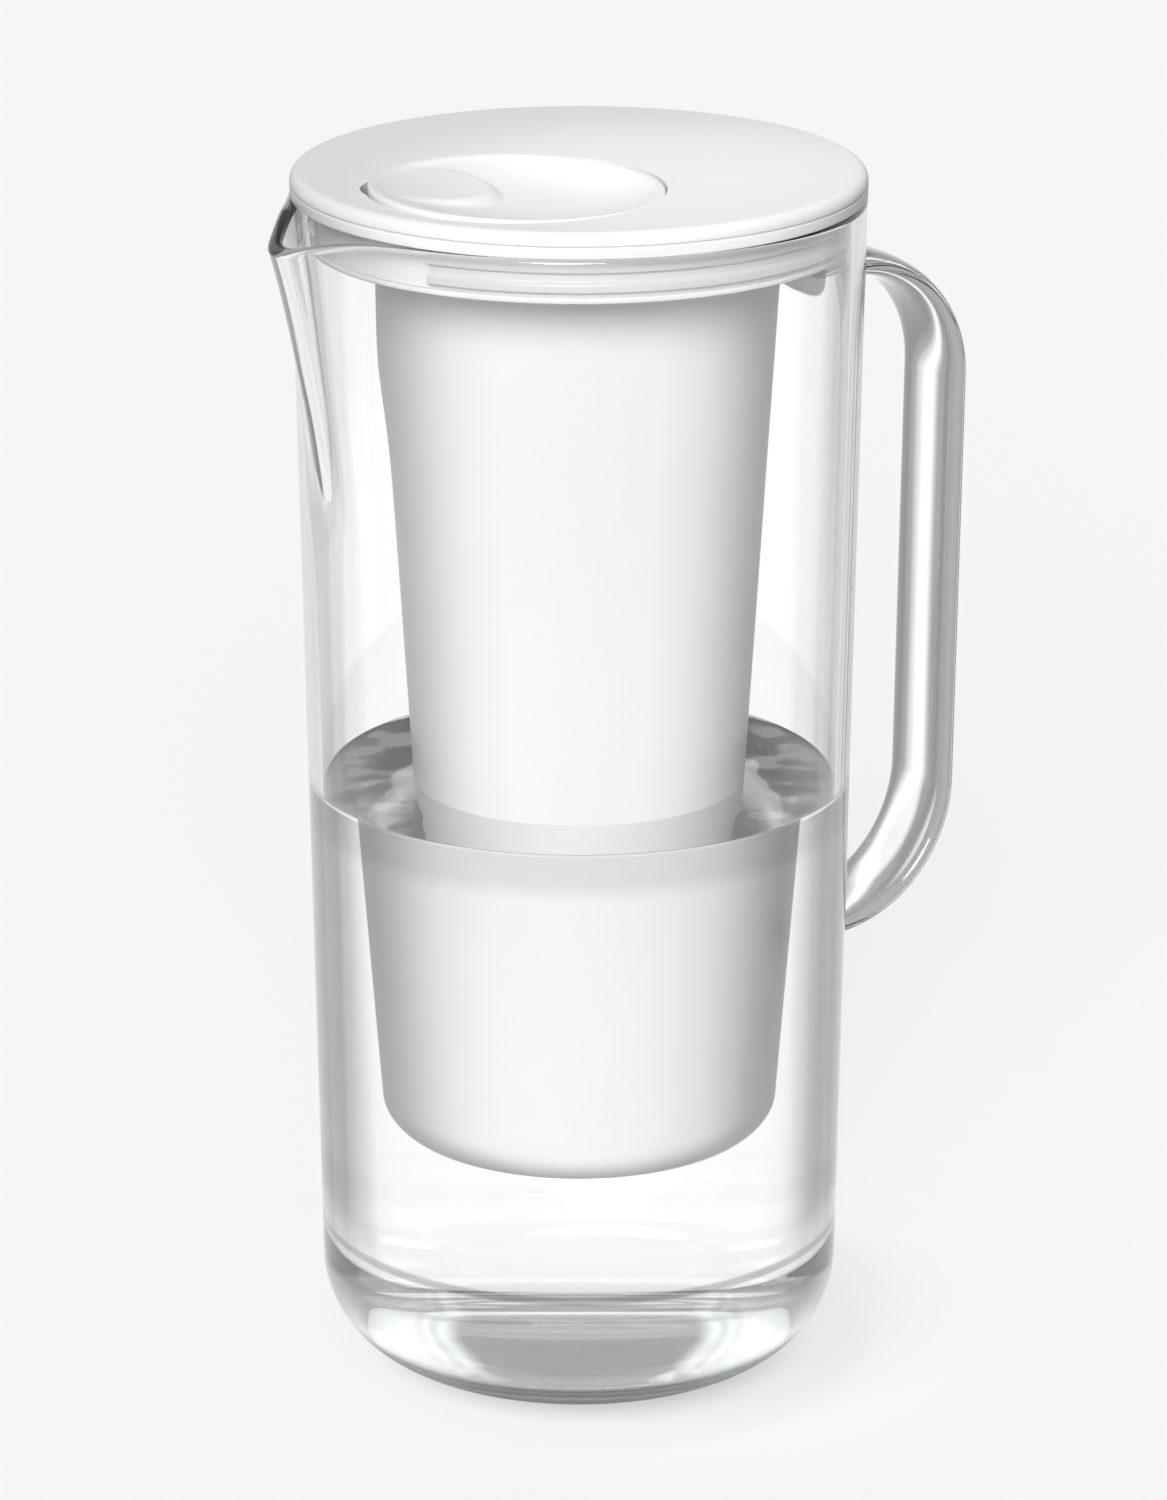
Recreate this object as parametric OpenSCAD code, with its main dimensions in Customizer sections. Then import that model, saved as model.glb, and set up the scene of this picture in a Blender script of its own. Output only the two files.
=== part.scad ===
// Water filter pitcher: clear jug with spout and handle, white drop-in
// reservoir, lid with a hinged fill flap, and a filter cartridge inside.
// Millimetres, +Z up, origin on the jug axis at the floor.
// The spout points along -X and the handle along +X.

/* [Jug] */
// Outer radius of the jug at its rim
mouth_r = 60; // [56:0.5:72]
// Height of the flat rim above the floor
rim_z = 256.6; // [230:0.5:300]
// Wall thickness of the jug
wall = 3; // [2.4:0.1:3.6]
// Draft of the wall from vertical, in degrees
wall_draft = 1; // [0.4:0.1:1.6]
// Radius of the outer rounding at the base
base_round = 21.5; // [14:0.5:26]
// Thickness of the base
base_t = 7; // [5:0.5:10]
// Radius of the rounding inside the base
base_round_in = 17; // [10:0.5:22]

/* [Spout] */
// How far the spout tip stands out past the rim
spout_reach = 12.1; // [10:0.1:15]
// Outer radius of the spout nose
spout_nose_r = 10.5; // [9:0.1:11.5]
// Height of the spout from its foot to the rim
spout_h = 60.6; // [45:0.5:75]
// Angle between the spout axis and each spout wall, in degrees
spout_half_angle = 52.8; // [51:0.1:53.2]
// How far the lip dips below the rim at the tip
lip_drop = 4; // [1:0.1:5]

/* [Handle] */
// Width of the handle bar, along Y
handle_w = 22; // [16:0.5:28]
// Thickness of the handle bar
handle_t = 7; // [5.5:0.1:9]
// Clear gap between the wall and the handle
finger_gap = 26.8; // [24:0.2:34]
// Drop from the rim to the middle of the upper root
handle_drop = 21.6; // [16:0.2:34]
// Height of the middle of the lower root
handle_foot_z = 86; // [70:0.5:100]
// Bend radius of the upper corner
top_bend_r = 28; // [20:0.5:28.5]
// Bend radius of the lower corner
foot_bend_r = 36; // [26:0.5:38]

/* [Reservoir] */
// Thickness of the flange on the rim
flange_t = 2.4; // [1.8:0.1:3.2]
// Gap between the jug wall and the skirt at the rim
skirt_gap = 2.1; // [1.8:0.1:2.6]
// Thickness of the skirt
skirt_wall = 2; // [1.4:0.1:2.4]
// Depth of the skirt below the rim
skirt_h = 9.8; // [8.5:0.1:14]
// Thickness of the shelf between skirt and cup
shelf_t = 2; // [1.5:0.1:3]
// Fillet between the shelf and the cup
shelf_round = 2.5; // [1:0.1:4]
// Outer radius of the cup under the shelf
cup_top_r = 42.4; // [38:0.2:46]
// Outer radius of the cup at its foot
cup_foot_r = 30.4; // [28:0.2:35]
// Wall thickness of the cup
cup_wall = 2; // [1.5:0.1:2.4]
// Clear height between the jug floor and the cup
cup_clear = 42.5; // [30:0.5:60]
// Floor thickness of the cup
cup_floor_t = 5; // [4:0.1:7]
// Outer rounding at the cup foot
cup_round = 9.5; // [7:0.1:10]
// Inner rounding at the cup foot
cup_round_in = 3; // [2:0.1:4]
// Radius of the outlet opening in the cup floor
outlet_r = 16; // [12:0.2:18]

/* [Mouth seal] */
// Thickness of the seal sleeve on the skirt
sleeve_t = 0.7; // [0.5:0.05:1]
// Gap between a seal lip and the jug wall
lip_gap = 0.35; // [0.3:0.01:0.5]
// Number of lips
lip_count = 2; // [1:1:3]
// Height of one lip at its root
lip_h = 2.6; // [1.4:0.1:2.8]
// Height of the bevel above and below a lip
lip_bevel = 0.5; // [0.2:0.05:0.6]
// Half of the opening that the seal leaves at the spout, in degrees
seal_open = 27; // [15:1:40]
// Height of the bead that holds the seal from below
bead_h = 1.2; // [0.8:0.1:1.6]

/* [Lid] */
// Thickness of the lid cover
cover_t = 3; // [2.8:0.1:4]
// Rounding of the upper edge of the cover
cover_edge = 2.2; // [1:0.1:2.4]
// Gap between the locating rib and the skirt
rib_gap = 0.5; // [0.3:0.05:0.9]
// Thickness of the locating rib
rib_t = 1.8; // [1.2:0.1:2.6]
// Depth of the locating rib below the cover
rib_h = 3; // [2.6:0.1:5]
// Width of the lid gasket
gasket_w = 2.4; // [1.6:0.1:2.6]
// Thickness of the lid gasket
gasket_t = 1.1; // [0.8:0.05:1.4]
// Distance of the gasket from the cover edge
gasket_inset = 1.6; // [1.2:0.1:2]

/* [Fill flap] */
// Radius of the flap
flap_r = 30.2; // [26:0.2:32]
// Gap round the flap
flap_gap = 0.8; // [0.7:0.05:1]
// Distance from the cover edge to the fill opening
flap_inset = 5.2; // [4.6:0.1:9]
// Direction of the pad end of the flap, in degrees about Z
flap_turn = 149; // [0:1:359]
// Side of the cover that the flap sits on, in degrees from its pad end
flap_side = 57.4; // [0:0.2:90]
// Thickness of the flap rim
flap_rim_t = 2.4; // [2.2:0.1:2.6]
// Rounding of the upper edge of the flap
flap_edge = 0.6; // [0.5:0.05:0.9]
// Width of the thin rim round the bowl of the flap
flap_rim_w = 4.7; // [4.2:0.1:6]
// Depth of the bowl below the rim of the flap
bowl_drop = 3.2; // [2.6:0.1:4]
// Rest tilt of the flap, pad end up, in degrees
flap_tilt = 2.2; // [1:0.1:2.4]
// Radius of the round finger pad, which ends at the rim of the flap
pad_r = 21.5; // [18:0.1:23]
// Width of the flap rim beside the pad
pad_rim_w = 1.2; // [0.8:0.1:2]
// Depth of the finger pad
pad_depth = 1.5; // [0.8:0.1:1.6]
// Distance of the pad centre from the edge of the flap
pad_inset = 4.2; // [3:0.1:8]
// Sideways place of the pad centre on the flap
pad_side = -5; // [-8:0.5:8]
// Radius of the scoop
scoop_r = 17.5; // [14:0.1:18.5]
// Depth of the scoop
scoop_depth = 3.4; // [2:0.1:3.6]
// Distance of the scoop from the edge of the flap
scoop_inset = 1.2; // [1:0.1:3]
// Depth of the finger notch at the pad end
notch_depth = 1.6; // [1:0.1:2.2]
// Radius of the finger notch
notch_r = 10; // [8:0.5:14]
// Depth that the stop ledges reach under the flap
ledge_w = 2.6; // [2:0.1:3.2]
// Clearance between the flap and its stop ledges
ledge_gap = 0.3; // [0.25:0.01:0.4]

/* [Hinge] */
// Distance of the hinge axis from the far end of the flap
hinge_inset = 12.7; // [11:0.1:16]
// Depth of the hinge axis below the cover top
hinge_depth = 1.3; // [1.25:0.05:1.4]
// Radius of the hinge pins
pin_r = 0.8; // [0.6:0.05:0.8]
// Radial clearance of the pins in the cover
pin_clear = 0.05; // [0.03:0.01:0.08]
// Length of a pin inside the flap
pin_grip = 2.6; // [2:0.1:3]
// Length of a pin past the edge of the opening
pin_reach = 3.2; // [2:0.1:4]

/* [Cartridge] */
// Gap between the cartridge and the cup wall at the cup foot
cartridge_gap = 3.4; // [2.8:0.1:5]
// Height of the cartridge shell
cartridge_h = 62; // [45:0.5:75]
// Wall thickness of the cartridge
shell_wall = 1.6; // [1.2:0.1:2]
// Gap between the cartridge neck and the outlet opening
neck_gap = 0.4; // [0.3:0.05:0.6]
// Fit gap between pieces of the cartridge
cartridge_fit = 0.1; // [0.05:0.01:0.2]
// Thickness of the flat seal under the cartridge
foot_seal_t = 1; // [0.6:0.1:1.6]
// Thickness of a mesh screen
screen_t = 0.6; // [0.4:0.1:1]
// Thickness of the fleece divider
fleece_t = 2; // [1:0.1:4]
// Height of the resin bed
resin_h = 26; // [16:0.5:28]
// Height of the cap skirt over the shell
cap_skirt_h = 8; // [5:0.2:12]
// Number of inlet slots in the cap
cap_slots = 8; // [4:1:10]
// Width of an inlet slot
cap_slot_w = 2.4; // [1.6:0.1:3]
// Height of the pull fin on the cap
fin_h = 12; // [9:0.5:16]
// Length of the pull fin
fin_l = 26; // [20:0.5:30]
// Thickness of the pull fin
fin_t = 4; // [3:0.1:5]
// Radius of the solid middle of the cap
cap_hub_r = 5.2; // [4:0.1:7]
// Radius of the finger hole in the fin
fin_hole_r = 3; // [2:0.1:4]
// Number of bars in the outlet grid
grid_bars = 5; // [3:2:7]
// Width of one bar of the outlet grid
grid_bar_w = 2; // [1.4:0.1:2.4]

/* [Hidden] */
$fn = 96;
// Steps of a quarter round in a turned profile
round_steps = 14;
// Overshoot of a cut past the face that it opens
over = 1;

// Radii of the jug wall at a height
function jug_r(z) = mouth_r - (rim_z - z) * tan(wall_draft);
function jug_in_r(z) = jug_r(z) - wall;
// Points of an arc about c, from angle a0 to a1
function arc(c, r, a0, a1) =
    let (n = max(3, ceil(round_steps * abs(a1 - a0) / 90)))
    [for (i = [0:n]) c + r * [cos(a0 + (a1 - a0) * i / n), sin(a0 + (a1 - a0) * i / n)]];
// Centre of a rounding between a floor at z and a wall that leans out by the angle a
function corner(r, z, wall_x, a) = [wall_x + (z + r) * tan(a) - r / cos(a), z + r];

// Jug
base_c = corner(base_round, 0, jug_r(0), wall_draft);
base_in_c = corner(base_round_in, base_t, jug_in_r(0), wall_draft);
// Spout: the ridge leans from its foot on the wall out to the tip
spout_foot_z = rim_z - spout_h;
spout_lean = atan((mouth_r + spout_reach - jug_r(spout_foot_z)) / (spout_h - lip_drop));
// The ridge starts inside the wall, below its foot
spout_root = wall;
spout_l = spout_root + (spout_h + 2 * spout_nose_r) / cos(spout_lean);
spout_side = (mouth_r + spout_reach - spout_nose_r) * sin(spout_half_angle);

// Handle, before it leans with the wall
handle_mid_z = (rim_z - handle_drop + handle_foot_z) / 2;
handle_x = jug_r(handle_mid_z) + finger_gap + handle_t / 2;
run_top_z = rim_z - handle_drop - top_bend_r;
run_foot_z = handle_foot_z + foot_bend_r;
root_l = handle_x - jug_r(0) + wall - min(top_bend_r, foot_bend_r);

// Reservoir
shelf_z = rim_z - skirt_h;
flange_z = rim_z + flange_t;
skirt_r = mouth_r - wall - skirt_gap;
skirt_in_r = skirt_r - skirt_wall;
cup_z = base_t + cup_clear;
cup_floor_z = cup_z + cup_floor_t;
cup_taper = atan((cup_top_r - cup_foot_r) / (shelf_z - cup_z));
function cup_r(z) = cup_foot_r + (z - cup_z) * tan(cup_taper);
cup_c = [cup_foot_r + cup_round * tan(cup_taper) - cup_round / cos(cup_taper), cup_z + cup_round];
cup_in_foot_r = cup_r(cup_floor_z) - cup_wall;
cup_in_c = [cup_in_foot_r + cup_round_in * tan(cup_taper) - cup_round_in / cos(cup_taper),
    cup_floor_z + cup_round_in];
shelf_c = [cup_r(shelf_z - shelf_round) + shelf_round / cos(cup_taper), shelf_z - shelf_round];
// Rounding of the flange rim
flange_edge = flange_t / 6;
// Mouth seal, between the flange and the bead
bead_z = shelf_z;
bead_r = skirt_r + sleeve_t + lip_gap;
seal_z = bead_z + bead_h;
seal_top_z = rim_z - lip_gap;
lip_pitch = (seal_top_z - seal_z) / lip_count;

// Lid
lid_z = flange_z + cover_t;
rib_r = skirt_in_r - rib_gap;
gasket_r = mouth_r - gasket_inset;
cover_under = cover_edge / 5;

// Fill flap: its own X axis runs from the lid centre side towards the pad end
hole_r = flap_r + flap_gap;
flap_dist = mouth_r - flap_inset - hole_r;
flap_pos = [flap_dist * cos(flap_side), flap_dist * sin(flap_side)];
bowl_r = flap_r - flap_rim_w;
flap_rim_z = lid_z - flap_rim_t;
pad_u = flap_r - pad_inset;
scoop_u = scoop_inset + scoop_r - flap_r;
hinge_u = hinge_inset - flap_r;
hinge_z = lid_z - hinge_depth;
flap_half = sqrt(flap_r * flap_r - hinge_u * hinge_u);
hole_half = sqrt(hole_r * hole_r - hinge_u * hinge_u);
pin_in_y = flap_half - pin_grip;
pin_out_y = hole_half + pin_reach;
// Stop ledges on both sides of the finger notch
ledge_from = 32;
ledge_to = 58;
ledge_z = flap_rim_z + (flap_r * cos(ledge_to) - hinge_u) * tan(flap_tilt) - ledge_gap;

// Cartridge, standing on its flat seal on the cup floor
cartridge_r = cup_foot_r - cup_wall - cartridge_gap;
cartridge_in_r = cartridge_r - shell_wall;
fill_r = cartridge_in_r - cartridge_fit;
shell_z = cup_floor_z + foot_seal_t;
shell_top_z = shell_z + cartridge_h;
neck_r = outlet_r - neck_gap;
neck_in_r = neck_r - shell_wall;
neck_z = cup_z + neck_gap;
lower_screen_z = shell_z + shell_wall;
resin_z = lower_screen_z + screen_t;
fleece_z = resin_z + resin_h;
carbon_z = fleece_z + fleece_t;
// Depth of the inner skirt that holds the upper screen down
cap_hold_h = cap_skirt_h / 2;
upper_screen_z = shell_top_z - cap_hold_h - screen_t;
cap_r = cartridge_r + cartridge_fit + shell_wall;
cap_top_z = shell_top_z + shell_wall;
grid_t = shell_wall;
grid_z = neck_z + grid_t / 2;
grid_r = neck_in_r - cartridge_fit;

// Turned solid from points of radius and height
module turned(points) {
    rotate_extrude($fn = 180) polygon(points);
}

// Ring between two radii and two heights
module ring(r_in, r_out, z_low, z_high) {
    translate([0, 0, z_low])
    difference() {
        cylinder(r = r_out, h = z_high - z_low, $fn = 180);
        translate([0, 0, -over]) cylinder(r = r_in, h = z_high - z_low + 2 * over, $fn = 180);
    }
}

// Filled outside of the jug, past the rim
module jug_outside() {
    top_z = rim_z + over;
    turned(concat([[0, 0]], arc(base_c, base_round, -90, -wall_draft), [[jug_r(top_z), top_z], [0, top_z]]));
}

// Space inside the jug, past the rim
module jug_inside() {
    top_z = rim_z + 2 * over;
    turned(concat([[0, base_t]], arc(base_in_c, base_round_in, -90, -wall_draft),
        [[jug_in_r(top_z), top_z], [0, top_z]]));
}

// Plan of the spout: a round nose with two tangent walls that run back into the jug
module spout_plan(nose_r) {
    swing = 90 - spout_half_angle;
    nose = arc([spout_nose_r, 0], nose_r, 180 - swing, 180 + swing);
    run = (spout_side - nose_r) * [cos(spout_half_angle), sin(spout_half_angle)];
    polygon(concat(nose, [nose[len(nose) - 1] + [run[0], -run[1]], nose[0] + run]));
}

// Leaning prism of the spout
module spout_prism(nose_r) {
    translate([-jug_r(spout_foot_z), 0, spout_foot_z])
    rotate([0, -spout_lean, 0])
    translate([0, 0, -spout_root])
    linear_extrude(height = spout_l) spout_plan(nose_r);
}

// Everything above the flat rim and above the dipping lip
module above_rim() {
    size = 4 * mouth_r;
    translate([-size / 2, -size / 2, rim_z]) cube([size, size, spout_l]);
    dip_from = mouth_r - wall / 3;
    dip = atan(lip_drop / (mouth_r + spout_reach - dip_from));
    translate([-dip_from, 0, rim_z])
    rotate([0, -dip, 0])
    translate([-size, -size / 2, 0]) cube([size, size, spout_l]);
}

module jug_body() {
    color("aliceblue")
    difference() {
        union() {
            jug_outside();
            spout_prism(spout_nose_r);
        }
        jug_inside();
        spout_prism(spout_nose_r - wall);
        above_rim();
    }
}

// Cross section of the handle bar: flat faces, round sides
module handle_section() {
    side = (handle_w - handle_t) / 2;
    square([handle_t, 2 * side], center = true);
    for (s = [-1, 1]) translate([0, s * side]) circle(d = handle_t, $fn = 48);
}

// Quarter bend of the bar about an axis along Y, from the run towards the wall
module handle_bend(r, up) {
    rotate([90, 0, 0])
    rotate([0, 0, up ? 0 : -90])
    rotate_extrude(angle = 90, $fn = 120) translate([r, 0]) handle_section();
}

module handle() {
    color("aliceblue")
    difference() {
        translate([handle_x, 0, handle_mid_z])
        rotate([0, wall_draft, 0])
        translate([-handle_x, 0, -handle_mid_z])
        union() {
            translate([handle_x, 0, run_foot_z])
            linear_extrude(height = run_top_z - run_foot_z) handle_section();
            translate([handle_x - top_bend_r, 0, run_top_z]) handle_bend(top_bend_r, true);
            translate([handle_x - foot_bend_r, 0, run_foot_z]) handle_bend(foot_bend_r, false);
            translate([handle_x - top_bend_r, 0, run_top_z + top_bend_r])
            rotate([0, -90, 0]) linear_extrude(height = root_l) handle_section();
            translate([handle_x - foot_bend_r, 0, handle_foot_z])
            rotate([0, -90, 0]) linear_extrude(height = root_l) handle_section();
        }
        jug_outside();
    }
}

module reservoir() {
    color("white")
    turned(concat(
        [[outlet_r, cup_z]], arc(cup_c, cup_round, -90, -cup_taper),
        arc(shelf_c, shelf_round, 180 - cup_taper, 90),
        [[bead_r, bead_z], [bead_r, seal_z], [skirt_r, seal_z], [skirt_r, rim_z],
            [mouth_r - flange_edge, rim_z], [mouth_r, rim_z + flange_edge], [mouth_r, flange_z - flange_edge],
            [mouth_r - flange_edge, flange_z], [skirt_in_r, flange_z], [skirt_in_r, shelf_z + shelf_t],
            [cup_r(shelf_z + shelf_t) - cup_wall, shelf_z + shelf_t]],
        arc(cup_in_c, cup_round_in, -cup_taper, -90),
        [[outlet_r, cup_floor_z]]));
}

// Radius that a lip tip reaches at a height
function lip_r(z) = jug_in_r(z) - lip_gap;

module mouth_seal() {
    lips = [for (i = [0:lip_count - 1]) let (z = seal_z + i * lip_pitch + (lip_pitch - lip_h) / 2)
        each [[skirt_r + sleeve_t, z], [lip_r(z), z + lip_bevel], [lip_r(z), z + lip_h - lip_bevel],
            [skirt_r + sleeve_t, z + lip_h]]];
    color("gainsboro")
    rotate([0, 0, 180 + seal_open])
    rotate_extrude(angle = 360 - 2 * seal_open, $fn = 180)
    polygon(concat([[skirt_r, seal_z], [skirt_r + sleeve_t, seal_z]], lips,
        [[skirt_r + sleeve_t, seal_top_z], [skirt_r, seal_top_z]]));
}

// Puts children in the frame of the flap: X towards the pad end, origin in its middle
module on_lid() {
    rotate([0, 0, flap_turn]) translate(flap_pos) children();
}

// Sector of a ring about the flap, on both sides of its pad end
module ledge_sectors() {
    for (s = [-1, 1]) rotate([0, 0, s > 0 ? ledge_from : -ledge_to])
        rotate_extrude(angle = ledge_to - ledge_from, $fn = 120)
        translate([hole_r - ledge_w, flange_z]) square([ledge_w + flap_gap, ledge_z - flange_z]);
}

// Fill opening, with the finger notch at the pad end
module fill_hole(low_z) {
    translate([0, 0, low_z]) cylinder(r = hole_r, h = lid_z - low_z + over, $fn = 180);
    translate([hole_r + notch_depth - notch_r, 0, low_z]) cylinder(r = notch_r, h = lid_z - low_z + over);
}

module lid_cover() {
    color("white")
    union() {
        difference() {
            union() {
                turned(concat([[0, flange_z], [mouth_r - cover_under, flange_z],
                    [mouth_r, flange_z + cover_under]],
                    arc([mouth_r - cover_edge, lid_z - cover_edge], cover_edge, 0, 90), [[0, lid_z]]));
                ring(rib_r - rib_t, rib_r, flange_z - rib_h, flange_z + cover_under);
            }
            on_lid() fill_hole(flange_z - rib_h - over);
            ring(gasket_r - gasket_w, gasket_r, flange_z - over, flange_z + gasket_t);
            on_lid() translate([hinge_u, 0, hinge_z])
            rotate([90, 0, 0]) cylinder(r = pin_r + pin_clear, h = 2 * (pin_out_y + pin_clear), center = true,
                $fn = 48);
        }
        on_lid() ledge_sectors();
    }
}

module lid_gasket() {
    color("gainsboro") ring(gasket_r - gasket_w, gasket_r, flange_z, flange_z + gasket_t);
}

// Shallow round dish of a given radius and depth, cut from the top of the flap
module dish(r, depth) {
    ball_r = (r * r + depth * depth) / (2 * depth);
    translate([0, 0, lid_z + ball_r - depth]) sphere(r = ball_r, $fn = 180);
}

module fill_flap() {
    color("white")
    on_lid()
    translate([hinge_u, 0, hinge_z]) rotate([0, -flap_tilt, 0]) translate([-hinge_u, 0, -hinge_z])
    difference() {
        turned(concat([[0, flap_rim_z - bowl_drop], [bowl_r - bowl_drop, flap_rim_z - bowl_drop],
            [bowl_r, flap_rim_z], [flap_r, flap_rim_z]],
            arc([flap_r - flap_edge, lid_z - flap_edge], flap_edge, 0, 90), [[0, lid_z]]));
        intersection() {
            translate([pad_u, pad_side, 0]) dish(pad_r, pad_depth);
            translate([0, 0, flap_rim_z]) cylinder(r = flap_r - pad_rim_w, h = flap_rim_t + over, $fn = 180);
        }
        translate([scoop_u, 0, 0]) dish(scoop_r, scoop_depth);
        for (s = [-1, 1]) translate([hinge_u, s * pin_in_y, hinge_z])
            rotate([-s * 90, 0, 0]) cylinder(r = pin_r, h = pin_grip + over, $fn = 48);
    }
}

module hinge_pins() {
    color("silver")
    on_lid()
    for (s = [-1, 1]) translate([hinge_u, s * pin_in_y, hinge_z])
        rotate([-s * 90, 0, 0]) cylinder(r = pin_r, h = pin_out_y - pin_in_y, $fn = 48);
}

module cartridge_shell() {
    color("white")
    turned([[neck_in_r, neck_z], [neck_r, neck_z], [neck_r, shell_z], [cartridge_r, shell_z],
        [cartridge_r, shell_top_z], [cartridge_in_r, shell_top_z], [cartridge_in_r, shell_z + shell_wall],
        [neck_in_r, shell_z + shell_wall]]);
}

module cartridge_cap() {
    hold_r = cartridge_in_r - cartridge_fit;
    color("white")
    difference() {
        union() {
            ring(cartridge_r + cartridge_fit, cap_r, shell_top_z - cap_skirt_h, cap_top_z);
            translate([0, 0, shell_top_z]) cylinder(r = cap_r, h = cap_top_z - shell_top_z);
            ring(hold_r - shell_wall, hold_r, shell_top_z - cap_hold_h, cap_top_z);
            translate([-fin_l / 2, -fin_t / 2, shell_top_z]) cube([fin_l, fin_t, fin_h + shell_wall]);
        }
        // Finger hole through the fin
        translate([0, 0, cap_top_z + fin_h / 2]) rotate([90, 0, 0])
        cylinder(r = fin_hole_r, h = fin_t + 2 * over, center = true, $fn = 48);
        // Inlet slots
        for (i = [0:cap_slots - 1]) rotate([0, 0, (i + 0.5) * 360 / cap_slots])
            translate([cap_hub_r, -cap_slot_w / 2, shell_top_z - over])
            cube([hold_r - shell_wall - over - cap_hub_r, cap_slot_w, shell_wall + 2 * over]);
    }
}

// Round disc that fills the cartridge between two heights
module fill_disc(z, h) {
    translate([0, 0, z]) cylinder(r = fill_r, h = h);
}

module upper_screen() {
    color("lightgray") fill_disc(upper_screen_z, screen_t);
}

module carbon_bed() {
    color("dimgray") fill_disc(carbon_z, upper_screen_z - carbon_z);
}

module fleece_divider() {
    color("whitesmoke") fill_disc(fleece_z, fleece_t);
}

module resin_bed() {
    color("wheat") fill_disc(resin_z, resin_h);
}

module lower_screen() {
    color("lightgray") fill_disc(lower_screen_z, screen_t);
}

module outlet_grid() {
    pitch = 2 * grid_r / (grid_bars + 1);
    color("white")
    union() {
        ring(grid_r - grid_bar_w, grid_r, grid_z, grid_z + grid_t);
        intersection() {
            translate([0, 0, grid_z]) cylinder(r = grid_r - grid_bar_w / 2, h = grid_t);
            for (i = [1:grid_bars]) translate([-grid_r, i * pitch - grid_r - grid_bar_w / 2, grid_z])
                cube([2 * grid_r, grid_bar_w, grid_t]);
        }
    }
}

module cartridge_seal() {
    color("gainsboro")
    ring(outlet_r + shell_wall, cartridge_r - shell_wall, cup_floor_z, cup_floor_z + foot_seal_t);
}

jug_body();
handle();
reservoir();
mouth_seal();
lid_cover();
lid_gasket();
fill_flap();
hinge_pins();
cartridge_shell();
cartridge_cap();
upper_screen();
carbon_bed();
fleece_divider();
resin_bed();
lower_screen();
outlet_grid();
cartridge_seal();
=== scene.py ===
from math import atan, atan2, copysign, cos, degrees, hypot, radians, sin, sqrt, tan
import bpy
from mathutils import Matrix, Vector


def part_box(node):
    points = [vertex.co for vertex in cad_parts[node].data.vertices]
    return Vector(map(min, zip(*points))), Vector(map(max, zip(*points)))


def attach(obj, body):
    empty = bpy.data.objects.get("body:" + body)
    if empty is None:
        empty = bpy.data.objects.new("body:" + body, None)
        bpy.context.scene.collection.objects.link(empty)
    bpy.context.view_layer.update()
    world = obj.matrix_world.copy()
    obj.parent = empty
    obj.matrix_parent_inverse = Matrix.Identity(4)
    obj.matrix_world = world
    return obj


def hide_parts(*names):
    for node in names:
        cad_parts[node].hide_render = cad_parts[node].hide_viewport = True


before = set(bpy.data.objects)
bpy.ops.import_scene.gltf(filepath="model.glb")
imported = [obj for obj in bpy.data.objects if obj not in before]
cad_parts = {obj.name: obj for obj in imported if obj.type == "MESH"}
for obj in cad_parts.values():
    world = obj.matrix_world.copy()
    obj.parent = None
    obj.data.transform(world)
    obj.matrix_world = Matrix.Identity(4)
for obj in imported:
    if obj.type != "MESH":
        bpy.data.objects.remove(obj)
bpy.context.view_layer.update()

mm = 0.001


# lowest and highest corner of a CAD node, in millimetres
def nodeBox(node):
    low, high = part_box(node)
    return [value / mm for value in low], [value / mm for value in high]


# the three sizes that the rest is worked out from
rimZ = nodeBox("jug_body")[1][2]
mouthR = nodeBox("reservoir")[1][0]
lidTop = nodeBox("lid_cover")[1][2]

# smallest lengths that count in a mesh, in millimetres
meshing = {"mergeGap": 0.002, "shortest": 0.001, "slack": 0.01}


# hand tools
def deselect():
    if bpy.context.mode != "OBJECT":
        bpy.ops.object.mode_set(mode="OBJECT")
    bpy.ops.object.select_all(action="DESELECT")


def pick(piece):
    deselect()
    piece.select_set(True)
    bpy.context.view_layer.objects.active = piece


def editAll(piece):
    pick(piece)
    bpy.ops.object.mode_set(mode="EDIT")
    bpy.ops.mesh.select_all(action="SELECT")


def closeMesh(piece):
    editAll(piece)
    bpy.ops.mesh.remove_doubles(threshold=meshing["mergeGap"] * mm)
    bpy.ops.mesh.normals_make_consistent(inside=False)
    deselect()


def smooth(piece, angle):
    pick(piece)
    bpy.ops.object.shade_smooth_by_angle(angle=radians(angle))
    deselect()


def applyModifier(piece, kind, **settings):
    pick(piece)
    modifier = piece.modifiers.new(kind, kind)
    for key, value in settings.items():
        setattr(modifier, key, value)
    bpy.ops.object.modifier_apply(modifier=modifier.name)
    deselect()


def joinBy(piece, other, operation):
    applyModifier(piece, "BOOLEAN", object=other, operation=operation, solver="EXACT")
    bpy.data.objects.remove(other, do_unlink=True)


# points of an arc in the profile plane, in degrees
def arc(centre, radius, fromAngle, toAngle, steps):
    turns = [radians(fromAngle + (toAngle - fromAngle) * i / steps) for i in range(steps + 1)]
    return [(centre[0] + radius * cos(t), centre[1] + radius * sin(t)) for t in turns]


def line(start, end, steps):
    return [(start[0] + (end[0] - start[0]) * i / steps, start[1] + (end[1] - start[1]) * i / steps)
            for i in range(steps + 1)]


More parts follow.
